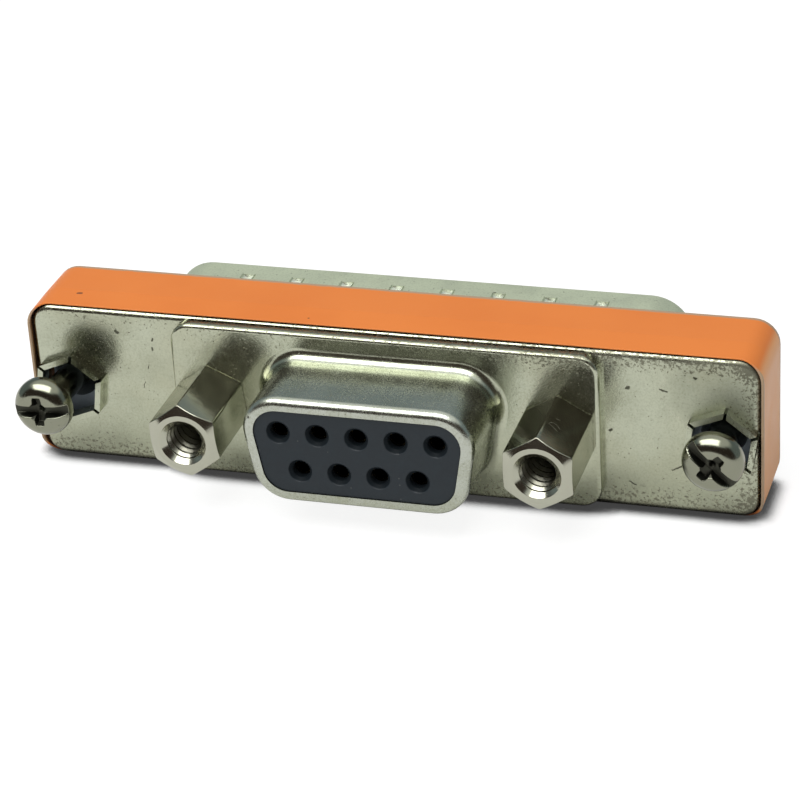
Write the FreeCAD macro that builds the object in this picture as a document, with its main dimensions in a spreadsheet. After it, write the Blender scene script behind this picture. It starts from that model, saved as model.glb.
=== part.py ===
import FreeCAD, Part
import math
import os
import re

import Sketcher
from FreeCAD import Placement, Rotation, Vector

# Flat D-sub adapter: nine-way socket in front (-Y), twenty-five-way plug behind (+Y).
# Origin: middle of the band's bottom face. Both connectors' axes run along Y at half the band's height.

doc = FreeCAD.newDocument("DsubAdapter")

SIZES = {
    # contact grid
    "contact_spacing": 2.77,
    "row_gap": 2.84,
    # socket shell, from the outermost contacts outwards
    "socket_side": 2.625,
    "socket_over": 2.53,
    "socket_reach": 7.15,
    "socket_corner": 2.6,
    "socket_lip": 0.85,
    "socket_round": 0.6,
    "socket_base": 0.8,
    # plug shell, from the outermost contacts outwards
    "plug_side": 3.26,
    "plug_over": 3.16,
    "plug_reach": 5.9,
    "plug_corner": 3.0,
    "plug_base": 0.6,
    "plug_rim_edge": 0.12,
    "dimple_end": 4.84,
    "dimple_radius": 0.5,
    "dimple_length": 2.2,
    "dimple_depth": 0.2,
    "dimple_place": 3.1,
    "side_angle": 10,
    # moulded band, from the plug's shell outwards
    "screw_clear": 3.64,
    "band_end": 2.91,
    "band_over": 1.65,
    "band_corner": 1.8,
    "band_edge": 0.12,
    "band_rim": 0.22,
    "rim_proud": 0.35,
    "band_wall": 1.0,
    # both stamped plates
    "sheet": 0.4,
    "skirt": 1.5,
    "plate_edge": 0.5,
    "fit_gap": 0.03,
    # platform of the front plate
    "standoff_clear": 4.33,
    "platform_end": 2.855,
    "platform_over": 0.18,
    "platform_rise": 0.9,
    "platform_corner": 1.5,
    "platform_edge": 0.3,
    # hexagonal holes with bent-out tabs
    "collar_flats": 4.8,
    "collar_rise": 0.8,
    "collar_turn": -8,
    "collar_drop": 0.3,
    "collar_slit": 0.22,
    "burr_wall": 0.45,
    "burr_depth": 0.6,
    # insulators
    "block_clear": 0.15,
    "block_corner": 0.5,
    "pin_block_side": 0.82,
    "half_seam": 0.85,
    "back_thick": 0.75,
    "end_gap": 0.6,
    "screw_room": 0.55,
    "face_recess": 0.1,
    "pin_floor": 0.55,
    "entry_clear": 0.115,
    "mouth_flare": 0.25,
    "barrel_clear": 0.075,
    "entry_land": 0.5,
    # contacts
    "pin_diameter": 1.02,
    "pin_tip_gap": 0.95,
    "pin_tip": 0.45,
    "barrel_grip": 0.015,
    "barrel_wall": 0.25,
    "barrel_slit": 0.2,
    "barrel_set_back": 0.95,
    "flange_over": 0.175,
    "flange_thick": 0.3,
    "tail_diameter": 0.7,
    "foot_over": 0.2,
    "foot_thick": 0.15,
    "tail_gap": 0.1,
    # board
    "board_thick": 0.7,
    "board_clear": 0.52,
    "board_corner": 0.6,
    # standoffs and their nuts
    "standoff_flats": 4.76,
    "standoff_proud": 0.1,
    "standoff_chamfer": 30,
    "standoff_face": 4.4,
    "bore_diameter": 2.4,
    "bore_mouth": 3.4,
    "bore_floor": 1.35,
    "stud_diameter": 2.75,
    "stud_over": 0.5,
    "stud_lead": 0.2,
    "stud_clear": 0.15,
    "nut_flats": 4.76,
    "nut_thick": 1.5,
    "nut_clear": 0.25,
    # jackscrews
    "head_seat": 0.125,
    "head_height": 1.5,
    "head_round": 1.15,
    "thread_diameter": 2.8,
    "thread_length": 3.1,
    "thread_lead": 0.3,
    "thread_bite": 0.15,
    "neck_clear": 0.2,
    "screw_travel": 3.7,
    "slot_width": 0.8,
    "slot_depth": 0.65,
    "cross_length": 2.3,
    "cross_width": 0.65,
    "left_out": 3.25,
    "left_turn": 4,
    "left_yaw": -1.9,
    "left_pitch": -1.7,
    "right_out": 1.95,
    "right_turn": -43,
}

# sizes that follow from the ones above
FITTED = {
    "socket_width": "4 * contact_spacing + 2 * socket_side",
    "socket_height": "row_gap + 2 * socket_over",
    "plug_width": "12 * contact_spacing + 2 * plug_side",
    "plug_height": "row_gap + 2 * plug_over",
    "dimple_step": "(plug_width - 2 * dimple_end) / 8",
    "screw_spacing": "plug_width + 2 * screw_clear",
    "band_width": "screw_spacing + 2 * band_end",
    "band_height": "plug_height + 2 * band_over",
    "band_depth": "2 * (sheet + half_seam + fit_gap + back_thick + board_clear) + board_thick",
    "plate_width": "band_width - 2 * band_rim - 2 * fit_gap",
    "plate_height": "band_height - 2 * band_rim - 2 * fit_gap",
    "plate_corner": "band_corner - band_rim - fit_gap",
    "standoff_spacing": "socket_width + 2 * standoff_clear",
    "standoff_length": "socket_reach - platform_rise + standoff_proud",
    "platform_width": "standoff_spacing + 2 * platform_end",
    "platform_height": "plate_height - 2 * platform_over",
    "block_width": "standoff_spacing - 2 * (nut_flats / sqrt(3) + nut_clear)",
    "block_height": "band_height - 2 * (band_wall + block_clear)",
    "pin_block_width": "plug_width + 2 * pin_block_side",
    "carrier_width": "band_width - 2 * (band_wall + block_clear)",
    "carrier_corner": "band_corner - band_rim - block_clear",
    "carrier_end": "(carrier_width - pin_block_width) / 2 - block_clear",
    "seam": "sheet + half_seam",
    "hole_entry": "pin_diameter + 2 * entry_clear",
    "hole_mouth": "hole_entry + 2 * mouth_flare",
    "barrel_inner": "pin_diameter + 2 * barrel_grip",
    "barrel_outer": "barrel_inner + 2 * barrel_wall",
    "barrel_room": "barrel_outer + 2 * barrel_clear",
    "flange_diameter": "barrel_outer + 2 * flange_over",
    "tail_hole": "tail_diameter + 4 * fit_gap",
    "board_face": "(band_depth - board_thick) / 2",
    "bore_depth": "standoff_length - bore_floor",
    "stud_length": "sheet + nut_thick + stud_over",
    "stud_hole": "stud_diameter + 2 * stud_clear",
    "head_diameter": "collar_flats - 2 * sheet + 2 * head_seat",
    "tapped_hole": "thread_diameter - 2 * thread_bite",
    "neck_diameter": "tapped_hole - 2 * neck_clear",
    "neck_length": "collar_rise + band_depth + screw_travel",
    "screw_length": "neck_length + thread_length",
}

sheet = doc.addObject("Spreadsheet::Sheet", "Sizes")
for row, (alias, size) in enumerate(SIZES.items(), start=1):
    sheet.set(f"A{row}", alias)
    sheet.set(f"B{row}", str(size))
    sheet.setAlias(f"B{row}", alias)
doc.recompute()

MID_HEIGHT = "band_height / 2"
FRONT_TURN = Rotation(Vector(1, 0, 0), 90)
REAR_TURN = Rotation(Vector(0, 0, 1), 180) * FRONT_TURN
CLOSE = 1e-4


def bound(formula):
    """The formula with fitted sizes written out and each alias pointing into the sheet."""
    def spelled(word):
        if word[0] in FITTED:
            return f"({bound(FITTED[word[0]])})"
        return f"Sizes.{word[0]}" if word[0] in SIZES else word[0]
    return re.sub(r"[a-z]\w*", spelled, formula)


def number(formula):
    return float(sheet.evalExpression(bound(formula)))


# sketches

def new_body(name):
    body = doc.addObject("PartDesign::Body", name)
    body.Label = name
    return body


def origin_plane(body, role):
    return next(item for item in body.Origin.OriginFeatures if item.Role == role)


def new_sketch(body, role="XY_Plane", level="0", across="0", up="0", turn="0"):
    """A sketch on an origin plane, shifted along its normal and in its plane, and turned there."""
    sketch = body.newObject("Sketcher::SketchObject", f"{body.Name}_sketch")
    sketch.AttachmentSupport = (origin_plane(body, role), [""])
    sketch.MapMode = "FlatFace"
    sketch.AttachmentOffset = Placement(Vector(), Rotation(Vector(0, 0, 1), number(turn)))
    sketch.setExpression("AttachmentOffset.Base.z", bound(level))
    sketch.setExpression("AttachmentOffset.Base.x", bound(across))
    sketch.setExpression("AttachmentOffset.Base.y", bound(up))
    return sketch


def locate(sketch, geometry, point, axis, formula):
    """Ties one coordinate of a point to a formula."""
    value = number(formula)
    if abs(value) < CLOSE:
        axis_line = {"X": -2, "Y": -1}[axis]
        sketch.addConstraint(Sketcher.Constraint("PointOnObject", geometry, point, axis_line))
        return
    ends = (-1, 1, geometry, point) if value > 0 else (geometry, point, -1, 1)
    index = sketch.addConstraint(Sketcher.Constraint(f"Distance{axis}", *ends, abs(value)))
    signed = formula if value > 0 else f"-({formula})"
    sketch.setExpression(f"Constraints[{index}]", bound(signed))


def rounded_outline(sketch, centres, radius):
    """Corner arcs at the centres, counter-clockwise, joined by tangent lines."""
    spots = [Vector(number(x), number(y)) for x, y in centres]
    size = number(radius)
    count = len(spots)
    normals = []
    for index, spot in enumerate(spots):
        run = spots[(index + 1) % count] - spot
        normals.append(Vector(run.y, -run.x).normalize())
    for index, spot in enumerate(spots):
        arm = normals[index] * size
        sketch.addGeometry(Part.LineSegment(spot + arm, spots[(index + 1) % count] + arm))
    for index, spot in enumerate(spots):
        start, stop = (math.atan2(normal.y, normal.x) for normal in (normals[index - 1], normals[index]))
        if stop < start:
            stop += 2 * math.pi
        sketch.addGeometry(Part.ArcOfCircle(Part.Circle(spot, Vector(0, 0, 1), size), start, stop))
    for index in range(count):
        arc = count + index
        sketch.addConstraint(Sketcher.Constraint("Tangent", (index - 1) % count, 2, arc, 1))
        sketch.addConstraint(Sketcher.Constraint("Tangent", arc, 2, index, 1))
    first = sketch.addConstraint(Sketcher.Constraint("Radius", count, size))
    sketch.setExpression(f"Constraints[{first}]", bound(radius))
    for index in range(1, count):
        sketch.addConstraint(Sketcher.Constraint("Equal", count, count + index))
    for index, (x, y) in enumerate(centres):
        locate(sketch, count + index, 3, "X", x)
        locate(sketch, count + index, 3, "Y", y)
    return sketch


def rectangle(sketch, width, height, corner):
    x = f"({width}) / 2 - ({corner})"
    y = f"({height}) / 2 - ({corner})"
    centres = [(f"-({x})", f"-({y})"), (x, f"-({y})"), (x, y), (f"-({x})", y)]
    return rounded_outline(sketch, centres, corner)


def d_outline(sketch, name, inset="0", wide_up=True):
    """D-sub outline of the shell called name, offset inwards by the inset."""
    corner = f"({name}_corner - ({inset}))"
    rise = f"({name}_height / 2 - {name}_corner)"
    wide = f"({name}_width / 2 - {name}_corner)"
    narrow = f"({wide} - 2 * {rise} * tan(side_angle))"
    lower, upper = (narrow, wide) if wide_up else (wide, narrow)
    centres = [(f"-{lower}", f"-{rise}"), (lower, f"-{rise}"), (upper, rise), (f"-{upper}", rise)]
    return rounded_outline(sketch, centres, corner)


def polygon(sketch, points):
    """Closed run of lines through the points."""
    spots = [Vector(number(x), number(y)) for x, y in points]
    count = len(spots)
    for index, spot in enumerate(spots):
        sketch.addGeometry(Part.LineSegment(spot, spots[(index + 1) % count]))
    for index in range(count):
        sketch.addConstraint(Sketcher.Constraint("Coincident", index, 1, (index - 1) % count, 2))
    for index, (x, y) in enumerate(points):
        locate(sketch, index, 1, "X", x)
        locate(sketch, index, 1, "Y", y)
    return sketch


def bar(sketch, length, width):
    """Centred rectangle with square corners."""
    x, y = f"({length}) / 2", f"({width}) / 2"
    return polygon(sketch, [(f"-{x}", f"-{y}"), (x, f"-{y}"), (x, y), (f"-{x}", y)])


def circles(sketch, spots, diameter):
    radius = number(diameter) / 2
    for x, y in spots:
        hole = sketch.addGeometry(Part.Circle(Vector(number(x), number(y)), Vector(0, 0, 1), radius))
        index = sketch.addConstraint(Sketcher.Constraint("Diameter", hole, 2 * radius))
        sketch.setExpression(f"Constraints[{index}]", bound(diameter))
        locate(sketch, hole, 3, "X", x)
        locate(sketch, hole, 3, "Y", y)
    return sketch


# features

def pad(body, sketch, length):
    feature = body.newObject("PartDesign::Pad", f"{body.Name}_pad")
    feature.Profile = sketch
    feature.setExpression("Length", bound(length))
    return feature


def pocket(body, sketch, length, upward=False):
    """Cut from the sketch down its normal, or up it."""
    feature = body.newObject("PartDesign::Pocket", f"{body.Name}_pocket")
    feature.Profile = sketch
    feature.Reversed = upward
    feature.setExpression("Length", bound(length))
    return feature


def turned(body, kind, points, across="0", level="0"):
    """Profile in radius and height, turned about an upright axis."""
    sketch = polygon(new_sketch(body, "XZ_Plane", level, across), points)
    feature = body.newObject(f"PartDesign::{kind}", f"{body.Name}_turned")
    feature.Profile = sketch
    feature.ReferenceAxis = (sketch, ["V_Axis"])
    feature.Angle = 360
    return feature


def hexagon(body, kind, flats, height, level="0", across="0", up="0", turn="0"):
    """Hexagonal prism with a corner at the top, turned from there."""
    prism = body.newObject(f"PartDesign::{kind}Prism", f"{body.Name}_prism")
    prism.Polygon = 6
    prism.AttachmentSupport = (origin_plane(body, "XY_Plane"), [""])
    prism.MapMode = "FlatFace"
    prism.AttachmentOffset = Placement(Vector(), Rotation(Vector(0, 0, 1), 30 + number(turn)))
    prism.setExpression("AttachmentOffset.Base.x", bound(across))
    prism.setExpression("AttachmentOffset.Base.y", bound(up))
    prism.setExpression("AttachmentOffset.Base.z", bound(level))
    prism.setExpression("Circumradius", bound(f"({flats}) / sqrt(3)"))
    prism.setExpression("Height", bound(height))
    return prism


def round_edges(body, radius, wanted):
    """Fillet on the edges of the body's last feature whose points all pass the test."""
    doc.recompute()
    feature = body.Tip
    names = []
    for index, edge in enumerate(feature.Shape.Edges, start=1):
        if all(wanted(point) for point in edge.discretize(5)):
            names.append(f"Edge{index}")
    fillet = body.newObject("PartDesign::Fillet", f"{body.Name}_fillet")
    fillet.Base = (feature, names)
    fillet.setExpression("Radius", bound(radius))
    return fillet


def repeat(body, feature, sketch, count, step):
    """Copies along the sketch's x."""
    pattern = body.newObject("PartDesign::LinearPattern", f"{body.Name}_row")
    pattern.Originals = [feature]
    pattern.Direction = (sketch, ["H_Axis"])
    pattern.Occurrences = count
    pattern.setExpression("Length", bound(f"{count - 1} * {step}"))
    body.Tip = pattern
    return pattern


def at_level(formula):
    level = number(formula)
    return lambda point: abs(point.z - level) < CLOSE


def within(formula_x, formula_y, level):
    half_x, half_y = (number(f"{formula} + fit_gap") for formula in (formula_x, formula_y))
    flat = at_level(level)
    return lambda point: flat(point) and abs(point.x) < half_x and abs(point.y) < half_y


def place(body, x="0", y="0", turn=FRONT_TURN, z=MID_HEIGHT):
    body.Placement = Placement(Vector(), turn)
    body.setExpression("Placement.Base.x", bound(x))
    body.setExpression("Placement.Base.y", bound(y))
    body.setExpression("Placement.Base.z", bound(z))


FRONT = {"y": "-band_depth / 2", "turn": FRONT_TURN}
REAR = {"y": "band_depth / 2", "turn": REAR_TURN}


def grid(counts, upper_first=True):
    """Hole centres of two staggered rows, as (x, y) formulas."""
    spots = []
    for row, count in enumerate(counts):
        side = 1 if (row == 0) == upper_first else -1
        for place_in_row in range(count):
            spots.append((f"{place_in_row - (count - 1) / 2} * contact_spacing", f"{side} * row_gap / 2"))
    return spots


SOCKET_GRID = grid((5, 4))
PIN_GRID = grid((13, 12), upper_first=False)


# band

def make_band():
    body = new_body("band")
    face = "(band_depth / 2 + rim_proud)"
    pad(body, rectangle(new_sketch(body, level=f"-{face}"), "band_width", "band_height", "band_corner"), f"2 * {face}")
    half = number(face)
    round_edges(body, "band_edge", lambda point: abs(abs(point.z) - half) < CLOSE)
    seat = ("band_width - 2 * band_rim", "band_height - 2 * band_rim", "band_corner - band_rim")
    deep = "rim_proud + skirt + fit_gap"
    pocket(body, rectangle(new_sketch(body, level=face), *seat), deep)
    pocket(body, rectangle(new_sketch(body, level=f"-{face}"), *seat), deep, upward=True)
    window = rectangle(new_sketch(body, level="band_depth / 2"), "band_width - 2 * band_wall",
                       "band_height - 2 * band_wall", "band_corner - band_rim")
    pocket(body, window, "band_depth")
    place(body)
    return body


# stamped plates

def make_blank(name):
    """Flat plate with its edge turned back, still solid."""
    body = new_body(name)
    pad(body, rectangle(new_sketch(body, level="-skirt"), "plate_width", "plate_height", "plate_corner"), "skirt")
    round_edges(body, "plate_edge", at_level("0"))
    return body


def hollow_blank(body):
    inside = ("plate_width - 2 * sheet", "plate_height - 2 * sheet", "plate_corner - sheet")
    pocket(body, rectangle(new_sketch(body, level="-skirt"), *inside), "skirt - sheet", upward=True)


def make_front_plate():
    body = make_blank("front_plate")
    pad(body, rectangle(new_sketch(body, level="-plate_edge"), "platform_width", "platform_height",
                        "platform_corner"), "plate_edge + platform_rise")
    round_edges(body, "platform_edge", at_level("platform_rise"))
    pad(body, d_outline(new_sketch(body), "socket"), "socket_reach")
    round_edges(body, "socket_round", at_level("socket_reach"))
    round_edges(body, "socket_base", within("socket_width / 2", "socket_height / 2", "platform_rise"))
    hollow_blank(body)
    under = ("platform_width - 2 * sheet", "platform_height - 2 * sheet", "platform_corner - sheet")
    pocket(body, rectangle(new_sketch(body, level="-skirt"), *under), "skirt + platform_rise - sheet", upward=True)
    pocket(body, d_outline(new_sketch(body, level="-skirt"), "socket", "sheet"), "skirt + socket_reach - sheet",
           upward=True)
    round_edges(body, "socket_base + sheet",
                within("socket_width / 2 - sheet", "socket_height / 2 - sheet", "platform_rise - sheet"))
    pocket(body, d_outline(new_sketch(body, level="socket_reach"), "socket", "socket_lip"), "2 * sheet")
    studs = [("-standoff_spacing / 2", "0"), ("standoff_spacing / 2", "0")]
    pocket(body, circles(new_sketch(body, level="platform_rise"), studs, "stud_hole"), "2 * sheet")
    for side in ("-", ""):
        make_collar(body, f"{side}screw_spacing / 2")
    place(body, **FRONT)
    return body


def make_collar(body, across):
    """Hexagonal hole whose six tabs are bent out of the plate, parted at the corners."""
    where = {"across": across, "up": "-collar_drop"}
    hexagon(body, "Additive", "collar_flats", "collar_rise + sheet / 2", "-sheet / 2", turn="collar_turn", **where)
    hexagon(body, "Subtractive", "collar_flats - 2 * sheet", "collar_rise + skirt", "-skirt", turn="collar_turn",
            **where)
    for angle in (30, 90, 150):
        slit = bar(new_sketch(body, level="collar_rise", turn=f"{angle} + collar_turn", **where),
                   "1.3 * collar_flats", "collar_slit")
        pocket(body, slit, "collar_rise")


def make_rear_plate():
    body = make_blank("rear_plate")
    pad(body, d_outline(new_sketch(body, level="-sheet"), "plug", wide_up=False), "sheet + plug_reach")
    round_edges(body, "plug_base", within("plug_width / 2", "plug_height / 2", "0"))
    hollow_blank(body)
    pocket(body, d_outline(new_sketch(body, level="-skirt"), "plug", "sheet", wide_up=False),
           "skirt + plug_reach", upward=True)
    round_edges(body, "plug_base + sheet / 2",
                within("plug_width / 2 - sheet", "plug_height / 2 - sheet", "-sheet"))
    round_edges(body, "plug_rim_edge", at_level("plug_reach"))
    make_dimples(body)
    for side in ("-", ""):
        make_tapped_hole(body, f"{side}screw_spacing / 2")
    place(body, **REAR)
    return body


def make_dimples(body):
    """Grooves pressed into the shell's two long sides, which stand out inside it."""
    outside = "(plug_height / 2 - dimple_depth + dimple_radius)"
    inside = "(plug_height / 2 - sheet - dimple_depth + dimple_radius)"
    for side, count in ((1, 8), (-1, 9)):
        start = f"-{(count - 1) / 2} * dimple_step"
        for kind, height in (("Additive", inside), ("Subtractive", outside)):
            rod = body.newObject(f"PartDesign::{kind}Cylinder", f"{body.Name}_dimple")
            rod.AttachmentSupport = (origin_plane(body, "XY_Plane"), [""])
            rod.MapMode = "FlatFace"
            rod.setExpression("AttachmentOffset.Base.x", bound(start))
            rod.setExpression("AttachmentOffset.Base.y", bound(f"{side} * {height}"))
            rod.setExpression("AttachmentOffset.Base.z", bound("dimple_place - dimple_length / 2"))
            rod.setExpression("Radius", bound("dimple_radius"))
            rod.setExpression("Height", bound("dimple_length"))
            guide = new_sketch(body)
            repeat(body, rod, guide, count, "dimple_step")


def make_tapped_hole(body, across):
    """Screw hole with an inward burr long enough to tap."""
    outer = "tapped_hole / 2 + burr_wall"
    turned(body, "Revolution", [("0", "-sheet - burr_depth"), (outer, "-sheet - burr_depth"),
                                (outer, "-sheet / 2"), ("0", "-sheet / 2")], across)
    hole = circles(new_sketch(body, level="0", across=across), [("0", "0")], "tapped_hole")
    pocket(body, hole, "sheet + burr_depth")


# insulators

def hole_profile():
    """Half section of a socket hole: flared mouth, entry land, barrel room and collar seat."""
    face = "(socket_reach - face_recess)"
    flare = "(hole_mouth - hole_entry) / 2"
    land = f"({face} - {flare} - entry_land)"
    seat = "(flange_thick + fit_gap - seam)"
    back = "-seam"
    return [("0", face), ("hole_mouth / 2", face), ("hole_entry / 2", f"{face} - {flare}"),
            ("hole_entry / 2", land), ("barrel_room / 2", land), ("barrel_room / 2", seat),
            ("flange_diameter / 2 + fit_gap", seat), ("flange_diameter / 2 + fit_gap", back), ("0", back)]


def make_socket_insulator_front():
    body = new_body("socket_insulator_front")
    under_platform = "platform_rise - sheet - fit_gap"
    flange = rectangle(new_sketch(body, level="-seam"), "block_width", "block_height", "block_corner")
    pad(body, flange, f"seam + {under_platform}")
    pad(body, d_outline(new_sketch(body), "socket", "sheet + fit_gap"), "socket_reach - sheet - fit_gap")
    pad(body, d_outline(new_sketch(body), "socket", "socket_lip + fit_gap"), "socket_reach - face_recess")
    for side, count in ((1, 5), (-1, 4)):
        start = f"-{(count - 1) / 2} * contact_spacing"
        hole = turned(body, "Groove", hole_profile(), start, f"{-side} * row_gap / 2")
        repeat(body, hole, hole.Profile[0], count, "contact_spacing")
    place(body, **FRONT)
    return body


def back_block(name, width, corner, spots, bore):
    """Rear half of an insulator, with a hole for each tail."""
    body = new_body(name)
    top = "-seam - fit_gap"
    pad(body, rectangle(new_sketch(body, level=f"{top} - back_thick"), width, "block_height", corner),
        "back_thick")
    pocket(body, circles(new_sketch(body, level=top), spots, bore), "back_thick")
    return body


def make_socket_insulator_back():
    body = back_block("socket_insulator_back", "block_width", "block_corner", SOCKET_GRID, "tail_hole")
    place(body, **FRONT)
    return body


def make_pin_insulator_front():
    body = new_body("pin_insulator_front")
    flange = rectangle(new_sketch(body, level="-seam"), "pin_block_width", "block_height", "block_corner")
    pad(body, flange, "seam - sheet - fit_gap")
    pad(body, d_outline(new_sketch(body, level="-sheet - 2 * fit_gap"), "plug", "sheet + fit_gap", wide_up=False),
        "pin_floor + sheet + 2 * fit_gap")
    pocket(body, circles(new_sketch(body, level="pin_floor"), PIN_GRID, "pin_diameter + 2 * fit_gap"),
           "pin_floor + seam")
    pocket(body, circles(new_sketch(body, level="-seam"), PIN_GRID, "flange_diameter + 2 * fit_gap"),
           "flange_thick + fit_gap", upward=True)
    place(body, **REAR)
    return body


def make_pin_insulator_back():
    """Rear half of the plug's block, with an end piece that reaches forward round each jackscrew."""
    body = back_block("pin_insulator_back", "carrier_width", "carrier_corner", PIN_GRID, "tail_hole")
    rear = "-seam - fit_gap"
    reach = "band_depth - sheet - end_gap - seam - fit_gap"
    for side in ("-", ""):
        end = new_sketch(body, level=f"{rear} - ({reach})", across=f"{side}(carrier_width - carrier_end) / 2")
        pad(body, rectangle(end, "carrier_end", "block_height", "carrier_corner"), reach)
        bore = circles(new_sketch(body, level=rear), [(f"{side}screw_spacing / 2", "0")],
                       "neck_diameter + 2 * screw_room")
        pocket(body, bore, reach)
    place(body, **REAR)
    return body


# contacts

def collar_steps(stem):
    """Points over a contact's collar, from the stem in front of it to its back edge."""
    top = "(flange_thick - seam)"
    return [(stem, top), ("flange_diameter / 2", top), ("flange_diameter / 2", "-seam")]


def make_socket_contact(index, x, y):
    body = new_body(f"socket_contact_{index}")
    mouth = "(socket_reach - barrel_set_back)"
    floor = "(platform_rise)"
    foot = "(-board_face)"
    foot_edge = "tail_diameter / 2 + foot_over"
    points = [("0", floor), ("barrel_inner / 2", floor), ("barrel_inner / 2", mouth), ("barrel_outer / 2", mouth),
              *collar_steps("barrel_outer / 2"),
              ("tail_diameter / 2", "-seam"), ("tail_diameter / 2", f"{foot} + foot_thick"),
              (foot_edge, f"{foot} + foot_thick"), (foot_edge, foot), ("0", foot)]
    turned(body, "Revolution", points)
    slit = bar(new_sketch(body, level=mouth), "2 * barrel_outer", "barrel_slit")
    pocket(body, slit, f"({mouth} - {floor}) / 2")
    place(body, x=x, z=f"{MID_HEIGHT} + {y}", **FRONT)
    return body


def make_pin_contact(index, x, y):
    body = new_body(f"pin_contact_{index:02d}")
    tip = "(plug_reach - pin_tip_gap)"
    end = "(-board_face - board_thick + tail_gap)"
    points = [("0", tip), ("pin_diameter / 5", tip), ("pin_diameter / 2", f"{tip} - pin_tip"),
              *collar_steps("pin_diameter / 2"), ("tail_diameter / 2", "-seam"), ("tail_diameter / 2", end),
              ("0", end)]
    turned(body, "Revolution", points)
    place(body, x=f"-({x})", z=f"{MID_HEIGHT} + {y}", **REAR)
    return body


def make_board():
    body = new_body("adapter_board")
    pad(body, rectangle(new_sketch(body, level="-board_thick / 2"), "pin_block_width", "block_height", "board_corner"),
        "board_thick")
    pocket(body, circles(new_sketch(body, level="board_thick / 2"), PIN_GRID, "tail_hole"),
           "board_thick")
    place(body)
    return body


# standoffs, nuts and jackscrews

def make_standoff(name, x):
    """Local zero is the platform's face."""
    body = new_body(name)
    hexagon(body, "Additive", "standoff_flats", "standoff_length")
    stud = "stud_diameter / 2"
    turned(body, "Revolution", [("0", "fit_gap"), (stud, "fit_gap"), (stud, "-stud_length + stud_lead"),
                                (f"{stud} - stud_lead", "-stud_length"), ("0", "-stud_length")])
    flat = "standoff_face / 2"
    rim = "standoff_flats * 0.6"
    turned(body, "Groove", [(flat, "standoff_length"), (rim, "standoff_length"),
                            (rim, f"standoff_length - ({rim} - {flat}) * tan(standoff_chamfer)")])
    turned(body, "Groove", [("0", "standoff_length"), ("bore_mouth / 2", "standoff_length"),
                            ("bore_diameter / 2", "standoff_length - (bore_mouth - bore_diameter) / 2"),
                            ("bore_diameter / 2", "standoff_length - bore_depth"),
                            ("0", "standoff_length - bore_depth - bore_diameter / 4")])
    place(body, x=x, y="-band_depth / 2 - platform_rise")
    return body


def make_nut(name, x):
    """Hangs behind the platform; local zero is the plate's face."""
    body = new_body(name)
    top = "(platform_rise - sheet)"
    hexagon(body, "Additive", "nut_flats", "nut_thick", f"{top} - nut_thick")
    bore = circles(new_sketch(body, level=top), [("0", "0")], "stud_diameter + 2 * fit_gap")
    pocket(body, bore, "nut_thick")
    place(body, x=x, **FRONT)
    return body


def make_jackscrew(name, x, out, turn, yaw="0", pitch="0"):
    """Local zero is under the head; the screw leans about the tapped hole behind it."""
    body = new_body(name)
    head, neck, thread = (f"{part}_diameter / 2" for part in ("head", "neck", "thread"))
    turned(body, "Revolution", [("0", "head_height"), (head, "head_height"), (head, "0"), (neck, "0"),
                                (neck, "-neck_length"), (thread, "-neck_length"),
                                (thread, "-screw_length + thread_lead"),
                                (f"{thread} - thread_lead", "-screw_length"), ("0", "-screw_length")])
    round_edges(body, "head_round", at_level("head_height"))
    for length, width, angle in (("2 * head_diameter", "slot_width", turn), ("cross_width", "cross_length", turn)):
        recess = bar(new_sketch(body, level="head_height", turn=angle), length, width)
        pocket(body, recess, "slot_depth")
    lean = Rotation(Vector(0, 0, 1), number(yaw)) * Rotation(Vector(1, 0, 0), number(pitch))
    arm = f"(band_depth + collar_rise + {out})"
    place(body, x=f"{x} + {arm} * sin({yaw}) * cos({pitch})",
          y=f"band_depth / 2 - {arm} * cos({yaw}) * cos({pitch})",
          z=f"{MID_HEIGHT} - {arm} * sin({pitch})", turn=lean * FRONT_TURN)
    return body


pieces = [
    make_band(),
    make_front_plate(),
    make_rear_plate(),
    make_socket_insulator_front(),
    make_socket_insulator_back(),
    make_pin_insulator_front(),
    make_pin_insulator_back(),
    make_board(),
    make_standoff("standoff_left", "-standoff_spacing / 2"),
    make_standoff("standoff_right", "standoff_spacing / 2"),
    make_nut("standoff_nut_left", "-standoff_spacing / 2"),
    make_nut("standoff_nut_right", "standoff_spacing / 2"),
    make_jackscrew("jackscrew_left", "-screw_spacing / 2", "left_out", "left_turn", "left_yaw", "left_pitch"),
    make_jackscrew("jackscrew_right", "screw_spacing / 2", "right_out", "right_turn"),
]
for index, (x, y) in enumerate(SOCKET_GRID, start=1):
    pieces.append(make_socket_contact(index, x, y))
for index, (x, y) in enumerate(PIN_GRID, start=1):
    pieces.append(make_pin_contact(index, x, y))

doc.recompute()
for item in doc.Objects:
    if "Invalid" in item.State or "Error" in item.State:
        raise RuntimeError(f"{item.Name} did not compute")
os.makedirs("parts", exist_ok=True)
for piece in pieces:
    shape = piece.Shape
    if shape.isNull() or not shape.isValid() or len(shape.Solids) != 1:
        raise RuntimeError(f"{piece.Label} is not one valid solid")
for piece in pieces:
    piece.Shape.exportStep(f"parts/{piece.Label}.step")
    print(f"{piece.Label:26s} {piece.Shape.Volume:9.3f} mm3")
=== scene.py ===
import math

import bmesh
import bpy
import numpy as np
from mathutils import Matrix, Vector


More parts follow.
